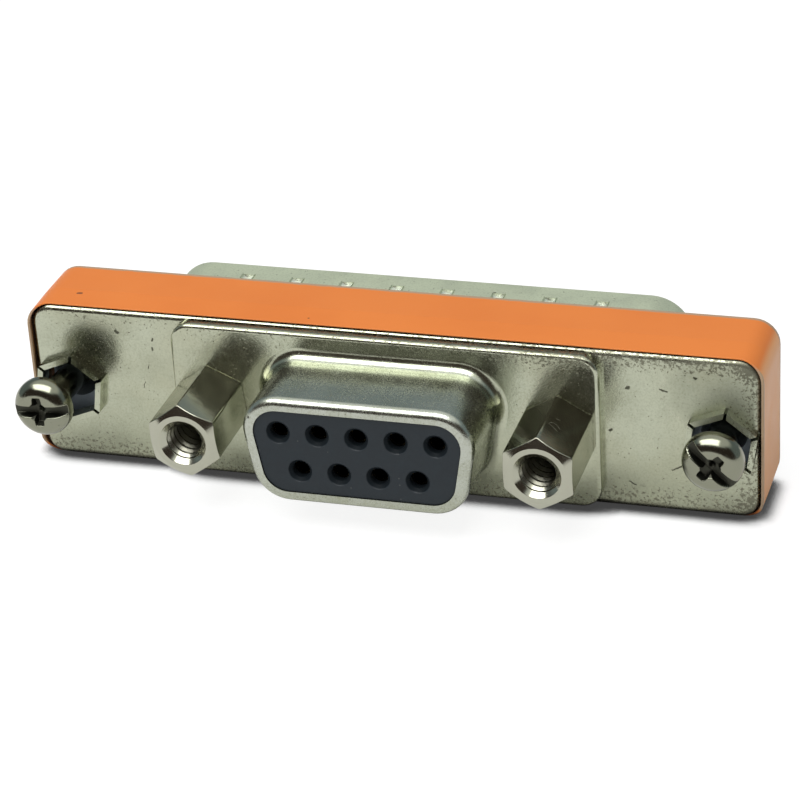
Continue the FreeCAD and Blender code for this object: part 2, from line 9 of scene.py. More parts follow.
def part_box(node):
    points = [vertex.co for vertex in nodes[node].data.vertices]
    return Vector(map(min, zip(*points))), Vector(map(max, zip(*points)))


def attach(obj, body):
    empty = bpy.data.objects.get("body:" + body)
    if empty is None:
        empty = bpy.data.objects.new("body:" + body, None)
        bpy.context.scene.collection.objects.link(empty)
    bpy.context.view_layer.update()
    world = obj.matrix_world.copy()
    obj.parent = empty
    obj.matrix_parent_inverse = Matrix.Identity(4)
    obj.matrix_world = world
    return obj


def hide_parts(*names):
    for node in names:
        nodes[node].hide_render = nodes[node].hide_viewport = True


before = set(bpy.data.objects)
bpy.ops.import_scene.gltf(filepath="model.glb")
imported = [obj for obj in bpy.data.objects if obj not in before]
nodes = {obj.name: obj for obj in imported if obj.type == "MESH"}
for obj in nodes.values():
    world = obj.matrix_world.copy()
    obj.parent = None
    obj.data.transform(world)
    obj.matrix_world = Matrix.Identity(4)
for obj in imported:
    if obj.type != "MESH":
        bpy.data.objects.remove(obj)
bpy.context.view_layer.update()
mm = 0.001  # pieces' sizes and places of marks are in mm, the materials' other sizes and the studio in metres
midHeight = 6.23  # both connectors' axes, above the floor
plateFace = 2.9  # half the depth between the two plates' faces
print("frame loaded:", len(nodes), "nodes")


# camera, at the angle of the photograph

photoCamera = {
    "place": (56.636, -174.261, 102.154),
    "right": (0.95828373, 0.28037547, -0.05551471),
    "down": (0.08416611, -0.46243373, -0.88265005),
    "forward": (-0.2731453, 0.84115673, -0.46674083),
    "lens": 132.55,
}


def makeCamera(values):
    camera = bpy.data.objects.new("camera", bpy.data.cameras.new("camera"))
    bpy.context.scene.collection.objects.link(camera)
    camera.data.sensor_width = 36
    camera.data.lens = values["lens"]
    camera.data.clip_start, camera.data.clip_end = 0.01, 20
    axes = Matrix((values["right"], [-v for v in values["down"]], [-v for v in values["forward"]])).transposed()
    camera.matrix_world = Matrix.Translation(Vector(values["place"]) * mm) @ axes.to_4x4()
    bpy.context.scene.camera = camera


makeCamera(photoCamera)
print("camera placed")


# node helpers

def plug(tree, socket, value):
    if isinstance(value, bpy.types.NodeSocket):
        tree.links.new(value, socket)
    else:
        socket.default_value = value


def addNode(tree, kind, settings=None, **sockets):  # a socket is named, or n0, n1 by its number
    node = tree.nodes.new(kind)
    for name, value in (settings or {}).items():
        setattr(node, name, value)
    for name, value in sockets.items():
        if name[0] == "n" and name[1:].isdigit():
            plug(tree, node.inputs[int(name[1:])], value)
        else:
            label = name.replace("_", " ")
            plug(tree, next(s for s in node.inputs if s.name == label and s.enabled), value)
    return node


def calc(tree, operation, first, second=0.0):
    return addNode(tree, "ShaderNodeMath", {"operation": operation}, n0=first, n1=second).outputs[0]


def calcVector(tree, operation, first, second=(0, 0, 0)):
    node = addNode(tree, "ShaderNodeVectorMath", {"operation": operation}, n0=first, n1=second)
    return node.outputs["Value" if operation in ("LENGTH", "DOT_PRODUCT") else "Vector"]


def blend(tree, factor, first, second):
    node = addNode(tree, "ShaderNodeMix", {"data_type": "RGBA"}, Factor=factor, A=first, B=second)
    return next(s for s in node.outputs if s.enabled)


def rise(tree, value, low, high, toLow=0.0, toHigh=1.0):
    return addNode(tree, "ShaderNodeMapRange", {"interpolation_type": "SMOOTHSTEP"},
                   Value=value, From_Min=low, From_Max=high, To_Min=toLow, To_Max=toHigh).outputs[0]


def noise(tree, place, scale, detail=2.0, roughness=0.5):
    return addNode(tree, "ShaderNodeTexNoise", Vector=place, Scale=scale, Detail=detail,
                   Roughness=roughness).outputs[0]


def newGroup(name, inputs, outputs):
    group = bpy.data.node_groups.new(name, "ShaderNodeTree")
    for label, (kind, value) in inputs.items():
        socket = group.interface.new_socket(label, in_out="INPUT", socket_type="NodeSocket" + kind)
        if value is not None:
            socket.default_value = value
    for label in outputs:
        group.interface.new_socket(label, in_out="OUTPUT", socket_type="NodeSocketFloat")
    return group, group.nodes.new("NodeGroupInput").outputs, group.nodes.new("NodeGroupOutput").inputs


def useGroup(tree, group, **sockets):
    node = tree.nodes.new("ShaderNodeGroup")
    node.node_tree = group
    for name, value in sockets.items():
        plug(tree, node.inputs[name], value)
    return node.outputs


# shared effects

def makeSpeckGroup():  # round specks in a share of the cells of a Voronoi pattern, each of its own size
    group, given, made = newGroup("specks", {"Place": ("Vector", None), "Spacing": ("Float", 0.001),
                                             "Size": ("Float", 0.3), "Share": ("Float", 0.2)}, ["Mask"])
    perMetre = calc(group, "DIVIDE", 1.0, given["Spacing"])
    cells = addNode(group, "ShaderNodeTexVoronoi", Vector=given["Place"], Scale=perMetre)
    chance = addNode(group, "ShaderNodeSeparateColor", n0=cells.outputs["Color"])
    chosen = calc(group, "LESS_THAN", chance.outputs[0], given["Share"])
    size = calc(group, "MULTIPLY", given["Size"], rise(group, chance.outputs[1], 0.0, 1.0, 0.4, 1.0))
    disc = rise(group, calc(group, "DIVIDE", cells.outputs["Distance"], size), 1.0, 0.55)
    group.links.new(calc(group, "MULTIPLY", disc, chosen), made["Mask"])
    return group


def makeScratchGroup():  # thin wavering lines: where stretched noise crosses its middle, inside some patches
    group, given, made = newGroup("scratches", {"Place": ("Vector", None), "Turn": ("Float", 0.0),
                                                "Width": ("Float", 0.02), "Share": ("Float", 0.3)}, ["Mask"])
    turned = addNode(group, "ShaderNodeVectorRotate", {"rotation_type": "Y_AXIS"},
                     Vector=given["Place"], Angle=given["Turn"])
    stretched = calcVector(group, "MULTIPLY", turned.outputs[0], (60, 900, 900))
    line = calc(group, "ABSOLUTE", calc(group, "SUBTRACT", noise(group, stretched, 1.0, 1.0), 0.5))
    patch = noise(group, turned.outputs[0], 420.0, 1.0)
    limit = rise(group, given["Share"], 0.0, 1.0, 0.75, 0.35)
    inside = calc(group, "MULTIPLY", rise(group, line, given["Width"], 0.0),
                  calc(group, "GREATER_THAN", patch, limit))
    group.links.new(inside, made["Mask"])
    return group


def makeMarkGroup():  # one short mark: points nearer than its width to the line from one place to another
    group, given, made = newGroup("mark", {"Place": ("Vector", None), "From": ("Vector", None),
                                           "To": ("Vector", None), "Width": ("Float", 0.0001)}, ["Mask"])
    wobble = addNode(group, "ShaderNodeTexNoise", Vector=given["Place"], Scale=3500.0).outputs["Color"]
    shift = calcVector(group, "MULTIPLY", calcVector(group, "SUBTRACT", wobble, (0.5, 0.5, 0.5)),
                       (0.00022, 0.00022, 0.00022))
    arm = calcVector(group, "SUBTRACT", calcVector(group, "ADD", given["Place"], shift), given["From"])
    run = calcVector(group, "SUBTRACT", given["To"], given["From"])
    share = calc(group, "DIVIDE", calcVector(group, "DOT_PRODUCT", arm, run),
                 calcVector(group, "DOT_PRODUCT", run, run))
    share = addNode(group, "ShaderNodeClamp", Value=share).outputs[0]
    foot = addNode(group, "ShaderNodeVectorMath", {"operation": "SCALE"}, n0=run, Scale=share).outputs[0]
    away = calcVector(group, "LENGTH", calcVector(group, "SUBTRACT", arm, foot))
    group.links.new(rise(group, calc(group, "DIVIDE", away, given["Width"]), 1.0, 0.5), made["Mask"])
    return group


def makeWearAndHighlightGroup():  # edges, found where a rounded normal leaves the true one, and broken up by noise
    group, given, made = newGroup("edgeWearAndHighlight", {"Place": ("Vector", None), "Radius": ("Float", 0.0002),
                                               "Breaks": ("Float", 1500.0)}, ["Mask"])
    rounded = addNode(group, "ShaderNodeBevel", {"samples": 6}, Radius=given["Radius"]).outputs[0]
    true = group.nodes.new("ShaderNodeNewGeometry").outputs["Normal"]
    edge = rise(group, calcVector(group, "DOT_PRODUCT", rounded, true), 0.995, 0.9)
    broken = rise(group, noise(group, given["Place"], given["Breaks"], 3.0), 0.35, 0.6)
    group.links.new(calc(group, "MULTIPLY", edge, broken), made["Mask"])
    return group


def makeDirtAndShadeGroup():  # dirt and painted shade in inner corners, where few rays get out: Mask lies under a patchy noise, Depth is plain painted shade
    group, given, made = newGroup("cornerDirtAndShade", {"Place": ("Vector", None), "Reach": ("Float", 0.0008),
                                                 "Patches": ("Float", 900.0)}, ["Mask", "Depth"])
    shelter = addNode(group, "ShaderNodeAmbientOcclusion", {"samples": 6}, Distance=given["Reach"])
    corner = rise(group, shelter.outputs["AO"], 0.75, 0.25)
    patchy = rise(group, noise(group, given["Place"], given["Patches"], 4.0, 0.65), 0.4, 0.65)
    group.links.new(calc(group, "MULTIPLY", corner, patchy), made["Mask"])
    group.links.new(rise(group, shelter.outputs["AO"], 0.95, 0.35), made["Depth"])
    return group


specks, scratches, mark = makeSpeckGroup(), makeScratchGroup(), makeMarkGroup()
edgeWearAndHighlight, cornerDirtAndShade = makeWearAndHighlightGroup(), makeDirtAndShadeGroup()
print("shared effects made")


# materials

def newMaterial(name, metallic=0.0):
    material = bpy.data.materials.new(name)
    material.use_nodes = True
    tree = material.node_tree
    shader = tree.nodes["Principled BSDF"]
    shader.inputs["Metallic"].default_value = metallic
    return material, tree, shader, addNode(tree, "ShaderNodeTexCoord").outputs["Object"]


def finish(tree, shader, color, roughness, bumps):  # bumps are (height, distance in metres), coarse ones first
    plug(tree, shader.inputs["Base Color"], color)
    plug(tree, shader.inputs["Roughness"], roughness)
    normal = None
    for height, distance in bumps:
        bump = addNode(tree, "ShaderNodeBump", Strength=1.0, Distance=distance, Height=height)
        if normal:
            tree.links.new(normal, bump.inputs["Normal"])
        normal = bump.outputs[0]
    tree.links.new(normal, shader.inputs["Normal"])


def addAll(tree, values):
    total = values[0]
    for value in values[1:]:
        total = calc(tree, "ADD", total, value)
    return total


def markMask(tree, place, marks):  # marks are (x, y, z, x, y, z, width) in mm
    masks = []
    for values in marks:
        ends = [tuple(v * mm for v in values[i:i + 3]) for i in (0, 3)]
        masks.append(useGroup(tree, mark, Place=place, From=ends[0], To=ends[1], Width=values[6] * mm)["Mask"])
    return addNode(tree, "ShaderNodeClamp", Value=addAll(tree, masks)).outputs[0]


nickelPlate = {
    "tone": (0.50, 0.525, 0.405, 1),
    "warmTone": (0.46, 0.47, 0.345, 1),
    "grainAndShadeTone": (0.35, 0.365, 0.27, 1),
    "pitTone": (0.07, 0.07, 0.05, 1),
    "dirtAndShadeTone": (0.13, 0.12, 0.085, 1),
    "smudgeTone": (0.20, 0.175, 0.13, 1),
    "drawnTone": (0.50, 0.525, 0.475, 1),  # where the sheet is drawn into the D-shell
    "drawnFrom": 0.0040,  # this far from the middle, in metres like the next places and depths
    "drawnRoughness": 0.05,
    # painted highlight of the plug shell's dimples, used on the rear plate only
    "dimpleGlintTone": (0.95, 0.98, 0.91, 1),
    "dimpleGlint": 0.0,
    "dimpleGlintFrom": (0.01046, 0.01056),
    "dimpleGlintTo": (0.01073, 0.01080),
    "dimpleGlintHalf": 0.0164,
    "grime": 1.0,
    "topGrime": (0.0102, 0.0119),
    "footGrime": (0.0030, 0.0006),
    "rightGrime": (0.0236, 0.0258),
    "footShade": (0.0011, 0.0005),
    "shadedBelow": 0.0055,
    "grainShare": 0.34,
    "cloudShare": 0.32,
    "shadedShare": 0.9,
    "roughness": 0.19,
    "waveDepth": 0.00005,
    "grainDepth": 0.0000045,
    "marks": [  # pits, dashes and scratches of the front plate
        (17.07, -2.9, 9.52, 17.15, -2.9, 9.58, 0.16),
        (15.83, -2.9, 6.17, 15.93, -2.9, 6.20, 0.13),
        (21.66, -2.9, 10.70, 21.80, -2.9, 10.66, 0.13),
        (19.30, -2.9, 9.63, 19.80, -2.9, 9.48, 0.07),
        (20.10, -2.9, 3.48, 20.75, -2.9, 3.83, 0.08),
        (17.10, -2.9, 2.33, 17.55, -2.9, 2.08, 0.07),
        (-17.45, -2.9, 8.30, -17.58, -2.9, 7.80, 0.04),
        (-17.90, -2.9, 6.75, -18.02, -2.9, 6.30, 0.04),
        (-19.78, -2.9, 10.60, -19.60, -2.9, 10.48, 0.14),
        (-17.02, -2.9, 10.22, -17.06, -2.9, 10.08, 0.10),
        (-17.10, -2.9, 9.50, -17.12, -2.9, 9.32, 0.08),
    ],
    "smudges": [(-22.3, -2.9, 8.9, -20.7, -2.9, 8.0, 1.5)],  # broad and soft
    "dullPatches": [(22.2, -2.9, 9.6, 25.0, -2.9, 9.2, 3.2)],
}
tinnedPlate = {
    **nickelPlate,
    "tone": (0.65, 0.69, 0.53, 1),
    "warmTone": (0.61, 0.64, 0.48, 1),
    "grainAndShadeTone": (0.50, 0.53, 0.41, 1),
    "drawnTone": (0.66, 0.70, 0.54, 1),
    "dimpleGlint": 0.85,
    "grime": 0.0,
    "roughness": 0.55,
    "marks": [
        (-14.2, 2.9, 1.6, -11.9, 2.9, 2.3, 0.07),
        (19.6, 2.9, 10.4, 19.75, 2.9, 10.5, 0.15),
        (-22.4, 2.9, 10.1, -21.6, 2.9, 10.5, 0.08),
        (5.2, 7.2, 10.81, 5.3, 7.25, 10.81, 0.12),
    ],
    "smudges": [(21.9, 2.9, 8.6, 24.6, 2.9, 8.9, 1.4)],
    "dullPatches": [(-20.6, 2.9, 3.0, -18.9, 2.9, 3.6, 2.0)],
}


def makePlateMetal(name, values):
    material, tree, shader, place = newMaterial(name, 1.0)
    spot = addNode(tree, "ShaderNodeSeparateXYZ", n0=place).outputs
    pits = useGroup(tree, specks, Place=place, Spacing=0.0011, Size=0.11, Share=0.12)["Mask"]
    lines = useGroup(tree, scratches, Place=place, Turn=0.5, Width=0.018, Share=0.25)["Mask"]
    moreLines = useGroup(tree, scratches, Place=place, Turn=-0.9, Width=0.014, Share=0.2)["Mask"]
    marks = markMask(tree, place, values["marks"])
    smudge = markMask(tree, place, values["smudges"])
    dull = markMask(tree, place, values["dullPatches"])
    # patchy dirt and painted shade in sheltered corners
    dirtAndShade = useGroup(tree, cornerDirtAndShade, Place=place, Reach=0.0008, Patches=1300.0)["Mask"]
    # speckle: noise over a limit that sinks towards the top edge, more on the right, towards the foot and the
    # right edge, and in sheltered corners
    nearTop = rise(tree, spot[2], *values["topGrime"])
    nearTop = calc(tree, "MULTIPLY", nearTop, rise(tree, spot[0], -0.012, 0.022, 0.4, 1.0))
    nearFloor = rise(tree, spot[2], *values["footGrime"], 0.0, 0.80)
    nearRight = rise(tree, spot[0], *values["rightGrime"], 0.0, 0.75)
    edges = addAll(tree, [nearTop, nearRight, calc(tree, "MULTIPLY", nearFloor, 0.35)])
    thick = addAll(tree, [
        calc(tree, "MULTIPLY", edges, values["grime"]), calc(tree, "MULTIPLY", nearFloor, 0.65),
        calc(tree, "MULTIPLY", smudge, 0.12), calc(tree, "MULTIPLY", dirtAndShade, 0.5),
    ])
    grime = calc(tree, "ADD", noise(tree, place, 4200.0, 3.0, 0.7), calc(tree, "MULTIPLY", thick, 0.19))
    speckle = rise(tree, grime, 0.62, 0.74)
    grain = rise(tree, noise(tree, place, 6500.0, 2.0, 0.6), 0.42, 0.68)
    cloud = rise(tree, noise(tree, place, 420.0, 5.0, 0.62), 0.42, 0.66)
    tarnish = rise(tree, noise(tree, place, 150.0, 3.0), 0.38, 0.68)
    color = blend(tree, tarnish, values["tone"], values["warmTone"])
    drawn = rise(tree, calc(tree, "ABSOLUTE", spot[1]), values["drawnFrom"], values["drawnFrom"] + 0.0003)
    color = blend(tree, calc(tree, "MULTIPLY", drawn, 0.8), color, values["drawnTone"])
    # painted highlight on the dimples and the rim: a band of heights just under the plug shell's top face is
    # near white
    glintMask = calc(tree, "MULTIPLY", rise(tree, spot[2], *values["dimpleGlintTo"][::-1]),
                   rise(tree, spot[2], *values["dimpleGlintFrom"]))
    between = calc(tree, "LESS_THAN", calc(tree, "ABSOLUTE", spot[0]), values["dimpleGlintHalf"])
    glintMask = calc(tree, "MULTIPLY", glintMask, between)
    glintMask = calc(tree, "MULTIPLY", calc(tree, "MULTIPLY", glintMask, drawn), values["dimpleGlint"])
    color = blend(tree, glintMask, color, values["dimpleGlintTone"])
    grainAndShade = calc(tree, "ADD", calc(tree, "MULTIPLY", grain, values["grainShare"]),
                  calc(tree, "MULTIPLY", cloud, values["cloudShare"]))
    # painted shade: the plate is darker towards the bottom, and there it goes to the grain's tone
    shadedLow = rise(tree, spot[2], values["shadedBelow"], 0.0, 0.0, values["shadedShare"])
    grainAndShade = calc(tree, "ADD", grainAndShade, shadedLow)
    color = blend(tree, grainAndShade, color, values["grainAndShadeTone"])
    color = blend(tree, calc(tree, "MULTIPLY", smudge, 0.14), color, values["smudgeTone"])
    # painted shade: the plate darkens towards its foot, near the floor; with the specks and the corner mask it
    # goes to the dark tone
    foot = rise(tree, calc(tree, "ADD", spot[2], calc(tree, "MULTIPLY", cloud, 0.0002)), *values["footShade"])
    dirtAndShade = calc(tree, "MAXIMUM", calc(tree, "MAXIMUM", dirtAndShade, speckle), foot)
    color = blend(tree, calc(tree, "MULTIPLY", dirtAndShade, 0.72), color, values["dirtAndShadeTone"])
    dark = calc(tree, "MAXIMUM", pits, marks)
    color = blend(tree, calc(tree, "MULTIPLY", dark, 0.85), color, values["pitTone"])
    roughness = addAll(tree, [
        calc(tree, "MULTIPLY", noise(tree, place, 700.0, 4.0), 0.16),
        calc(tree, "MULTIPLY", speckle, 0.2),
        calc(tree, "MULTIPLY", grain, 0.05),
        calc(tree, "MULTIPLY", dark, 0.3),
        calc(tree, "MULTIPLY", dull, 0.25),
        calc(tree, "MULTIPLY", drawn, values["drawnRoughness"]),
        values["roughness"] - 0.08,
    ])
    hollows = calc(tree, "SUBTRACT", 1.0, addAll(tree, [
        calc(tree, "MULTIPLY", dark, 0.8), calc(tree, "MULTIPLY", speckle, 0.35),
        calc(tree, "MULTIPLY", lines, 0.25), calc(tree, "MULTIPLY", moreLines, 0.2),
    ]))
    finish(tree, shader, color, roughness, [
        (noise(tree, place, 260.0, 1.0), values["waveDepth"]),
        (noise(tree, place, 6500.0, 2.0), values["grainDepth"]),
        (hollows, 0.00001),
    ])
    return material


orangeShell = {
    "tone": (0.89, 0.262, 0.055, 1),
    "deepTone": (0.84, 0.235, 0.047, 1),
    "edgeHighlightTone": (0.92, 0.42, 0.16, 1),
    "darkMark": (0.10, 0.05, 0.03, 1),
    "rimTone": (0.46, 0.35, 0.235, 1),
    "rimFrom": (0.00290, 0.00308),
    "sideLightTone": (0.94, 0.43, 0.15, 1),  # painted light: the short sides are paler
    "sideLightFrom": (0.0259, 0.0263),
    "insideShadeTone": (0.035, 0.022, 0.018, 1),
    "roughness": 0.36,
    "sheen": 0.24,
    "marks": [(-23.10, -1.10, 12.46, -22.85, -1.05, 12.46, 0.13)],
}


def makeOrangeShell(values):
    material, tree, shader, place = newMaterial("orangeShell")
    paler = useGroup(tree, edgeWearAndHighlight, Place=place, Radius=0.00012, Breaks=1400.0)["Mask"]
    lines = useGroup(tree, scratches, Place=place, Turn=0.2, Width=0.012, Share=0.22)["Mask"]
    dots = useGroup(tree, specks, Place=place, Spacing=0.0019, Size=0.05, Share=0.2)["Mask"]
    marks = markMask(tree, place, values["marks"])
    across, depth = (calc(tree, "ABSOLUTE", addNode(tree, "ShaderNodeSeparateXYZ", n0=place).outputs[k])
                     for k in (0, 1))
    shader.inputs["Specular IOR Level"].default_value = values["sheen"]
    uneven = rise(tree, noise(tree, place, 110.0, 3.0), 0.3, 0.75)
    color = blend(tree, uneven, values["tone"], values["deepTone"])
    # painted light on the short sides
    color = blend(tree, rise(tree, across, *values["sideLightFrom"]), color, values["sideLightTone"])
    # painted highlight: the band's edges are paler
    color = blend(tree, calc(tree, "MULTIPLY", paler, 0.35), color, values["edgeHighlightTone"])
    # the rim's front, beyond the plates' faces, is darker and browner: grime and painted shade
    grime = calc(tree, "ADD", depth, calc(tree, "MULTIPLY", noise(tree, place, 1500.0, 3.0), 0.0002))
    rim = rise(tree, grime, *values["rimFrom"], 0.0, 0.9)
    color = blend(tree, rim, color, values["rimTone"])
    # painted shade: sheltered parts, the band's inside above all, turn nearly black, less so on the rim
    insideShade = useGroup(tree, cornerDirtAndShade, Place=place, Reach=0.0012)["Depth"]
    insideShade = calc(tree, "MULTIPLY", insideShade, calc(tree, "SUBTRACT", 0.95, rim))
    color = blend(tree, insideShade, color, values["insideShadeTone"])
    dark = calc(tree, "MULTIPLY", calc(tree, "MAXIMUM", dots, marks), 0.85)
    color = blend(tree, dark, color, values["darkMark"])
    roughness = addAll(tree, [calc(tree, "MULTIPLY", noise(tree, place, 500.0, 3.0), 0.16),
                              calc(tree, "MULTIPLY", lines, 0.15), values["roughness"] - 0.08])
    finish(tree, shader, color, roughness, [
        (noise(tree, place, 180.0, 1.0), 0.00005),
        (noise(tree, place, 5200.0, 2.0), 0.000004),
        (calc(tree, "SUBTRACT", 1.0, lines), 0.000006),
    ])
    return material


darkMoulding = {"tone": (0.013, 0.020, 0.026, 1), "paleTone": (0.024, 0.034, 0.042, 1),
                "dustTone": (0.16, 0.16, 0.15, 1), "holeShadeTone": (0.003, 0.005, 0.007, 1),
                "roughness": 0.48, "sheen": 0.38, "shade": 0.9}
socketMoulding = {**darkMoulding, "face": -0.00995,  # anything deeper than its face is down in a hole, and is painted in shade
                  "holeShadeTone": (0.011, 0.015, 0.018, 1)}
greyMoulding = {"tone": (0.20, 0.235, 0.29, 1), "paleTone": (0.27, 0.31, 0.37, 1),
                "dustTone": (0.36, 0.36, 0.34, 1), "holeShadeTone": (0.05, 0.06, 0.07, 1),
                "roughness": 0.5, "sheen": 0.4, "shade": 0.0}  # its ends show beside the jackscrews


def makeMoulding(name, values):
    material, tree, shader, place = newMaterial(name)
    sheltered = useGroup(tree, cornerDirtAndShade, Place=place, Reach=0.0012)["Depth"]
    dust = useGroup(tree, specks, Place=place, Spacing=0.0007, Size=0.09, Share=0.16)["Mask"]
    paler = useGroup(tree, edgeWearAndHighlight, Place=place, Radius=0.00012, Breaks=1500.0)["Mask"]
    cloud = rise(tree, noise(tree, place, 900.0, 5.0, 0.65), 0.35, 0.75)
    color = blend(tree, calc(tree, "MULTIPLY", cloud, 0.5), values["tone"], values["paleTone"])
    color = blend(tree, calc(tree, "MULTIPLY", paler, 0.5), color, values["paleTone"])
    color = blend(tree, calc(tree, "MULTIPLY", dust, 0.5), color, values["dustTone"])
    # painted shade: sheltered corners, and on the socket anything below its face, go to the dark hole tone,
    # with little sheen
    shade = calc(tree, "MULTIPLY", sheltered, values["shade"])
    if "face" in values:
        deep = addNode(tree, "ShaderNodeSeparateXYZ", n0=place).outputs[1]
        deep = calc(tree, "ADD", deep, calc(tree, "MULTIPLY", noise(tree, place, 3500.0, 3.0), 0.00008))
        inHole = rise(tree, deep, values["face"] + 0.00004, values["face"] + 0.00012)
        shade = calc(tree, "MAXIMUM", shade, inHole)
    color = blend(tree, shade, color, values["holeShadeTone"])
    plug(tree, shader.inputs["Specular IOR Level"], rise(tree, shade, 0.0, 1.0, values["sheen"], 0.05))
    roughness = calc(tree, "ADD", calc(tree, "MULTIPLY", cloud, 0.14), values["roughness"] - 0.05)
    finish(tree, shader, color, roughness, [
        (noise(tree, place, 350.0, 1.0), 0.00003),
        (noise(tree, place, 9000.0, 3.0, 0.6), 0.000006),
    ])
    return material


def turnedPlace(tree):  # a turned piece's own map: once round it across, and mm along its outline upwards
    return addNode(tree, "ShaderNodeUVMap", {"uv_map": "turned"}).outputs[0]


turnedNickel = {"tone": (0.44, 0.44, 0.355, 1), "brassTone": (0.50, 0.42, 0.25, 1),
                "dirtAndShadeTone": (0.12, 0.11, 0.09, 1), "roughness": 0.16}
brightScrew = {"tone": (0.265, 0.27, 0.205, 1), "brassTone": (0.20, 0.195, 0.14, 1),
               "dirtAndShadeTone": (0.030, 0.030, 0.024, 1), "roughness": 0.16}


def makeTurnedMetal(name, values):  # tool rings round the piece, worn edges, patchy dirt and painted shade in the corners, and painted shade down in recesses
    material, tree, shader, place = newMaterial(name, 1.0)
    rings = calcVector(tree, "MULTIPLY", turnedPlace(tree), (1.5, 22, 1))
    rings = noise(tree, rings, 1.0, 3.0, 0.6)
    worn = useGroup(tree, edgeWearAndHighlight, Place=place, Radius=0.00014, Breaks=2200.0)["Mask"]
    dirtAndShade = useGroup(tree, cornerDirtAndShade, Place=place, Reach=0.0005, Patches=2500.0)["Mask"]
    pits = useGroup(tree, specks, Place=place, Spacing=0.0005, Size=0.14, Share=0.2)["Mask"]
    lines = useGroup(tree, scratches, Place=place, Turn=1.1, Width=0.02, Share=0.3)["Mask"]
    color = blend(tree, calc(tree, "MULTIPLY", worn, 0.4), values["tone"], values["brassTone"])
    dark = calc(tree, "MULTIPLY", calc(tree, "MAXIMUM", dirtAndShade, pits), 0.7)
    color = blend(tree, dark, color, values["dirtAndShadeTone"])
    # painted shade down in recesses, from the piece's own values
    recessShade = addNode(tree, "ShaderNodeAttribute", {"attribute_name": "recessShade"}).outputs["Fac"]
    color = blend(tree, calc(tree, "MULTIPLY", recessShade, 0.88), color, values["dirtAndShadeTone"])
    roughness = addAll(tree, [calc(tree, "MULTIPLY", rings, 0.1), calc(tree, "MULTIPLY", dirtAndShade, 0.3),
                              calc(tree, "MULTIPLY", recessShade, 0.25),
                              calc(tree, "MULTIPLY", lines, 0.12), values["roughness"] - 0.05])
    finish(tree, shader, color, roughness, [
        (noise(tree, place, 900.0, 1.0), 0.000012),
        (rings, 0.0000022),
        (calc(tree, "SUBTRACT", 1.0, calc(tree, "MAXIMUM", lines, pits)), 0.000004),
    ])
    return material


goldFlash = {"tone": (0.86, 0.62, 0.24, 1), "paleTone": (0.70, 0.62, 0.42, 1), "roughness": 0.2,
             "shade": 0.0}
shadedGold = {**goldFlash, "shade": 0.95}  # the socket's contacts, down in their holes


def makeGoldFlash(name, values, mapped):
    material, tree, shader, place = newMaterial(name, 1.0)
    along = calcVector(tree, "MULTIPLY", turnedPlace(tree) if mapped else place,
                       (2, 14, 1) if mapped else (700, 9000, 700))
    rings = noise(tree, along, 1.0, 3.0, 0.6)
    paler = rise(tree, noise(tree, place, 1300.0, 3.0), 0.45, 0.7)
    color = blend(tree, calc(tree, "MULTIPLY", paler, 0.5), values["tone"], values["paleTone"])
    sheltered = useGroup(tree, cornerDirtAndShade, Place=place, Reach=0.0012)["Depth"]
    color = blend(tree, calc(tree, "MULTIPLY", sheltered, values["shade"]), color, (0.01, 0.008, 0.004, 1))
    roughness = calc(tree, "ADD", calc(tree, "MULTIPLY", rings, 0.16), values["roughness"] - 0.07)
    finish(tree, shader, color, roughness, [(rings, 0.000003), (noise(tree, place, 9000.0, 2.0), 0.0000015)])
    return material


greenLaminate = {"tone": (0.035, 0.17, 0.065, 1), "weaveTone": (0.06, 0.25, 0.10, 1),
                 "edgeTone": (0.42, 0.36, 0.18, 1), "threads": 2600.0}


def makeGreenLaminate(values):  # glass cloth under green lacquer: two crossing waves; the sawn edge is bare
    material, tree, shader, place = newMaterial("greenLaminate")
    waves = [addNode(tree, "ShaderNodeTexWave", {"bands_direction": axis}, Vector=place,
                     Scale=values["threads"] / 6, Distortion=0.6).outputs["Fac"] for axis in ("X", "Z")]
    weave = calc(tree, "MULTIPLY", *waves)
    facing = addNode(tree, "ShaderNodeSeparateXYZ", n0=addNode(tree, "ShaderNodeTexCoord").outputs["Normal"])
    edge = rise(tree, calc(tree, "ABSOLUTE", facing.outputs[1]), 0.7, 0.3)
    color = blend(tree, weave, values["tone"], values["weaveTone"])
    color = blend(tree, calc(tree, "MULTIPLY", edge, 0.8), color, values["edgeTone"])
    roughness = rise(tree, edge, 0.0, 1.0, 0.35, 0.75)
    finish(tree, shader, color, roughness, [(weave, 0.00001), (noise(tree, place, 4000.0, 3.0), 0.000005)])
    return material


turnedNickelLook = makeTurnedMetal("turnedNickel", turnedNickel)
brightScrewLook = makeTurnedMetal("brightScrew", brightScrew)
goldPinLook = makeGoldFlash("goldPin", goldFlash, True)
slotLooks = {
    "band_plastic": makeOrangeShell(orangeShell),
    "plate_metal": makePlateMetal("nickelPlate", nickelPlate),
    "insulator_plastic": makeMoulding("darkMoulding", darkMoulding),
    "board_laminate": makeGreenLaminate(greenLaminate),
    "standoff_metal": turnedNickelLook,
    "screw_metal": brightScrewLook,
    "contact_metal": makeGoldFlash("goldContact", shadedGold, False),
    "pin_metal": goldPinLook,
}
for name, piece in nodes.items():
    piece.data.materials[0] = slotLooks[piece.data.materials[0].name]
nodes["rear_plate"].data.materials[0] = makePlateMetal("tinnedPlate", tinnedPlate)
nodes["socket_insulator_front"].data.materials[0] = makeMoulding("socketMoulding", socketMoulding)
nodes["pin_insulator_back"].data.materials[0] = makeMoulding("greyMoulding", greyMoulding)
print("materials made")


# surfaces

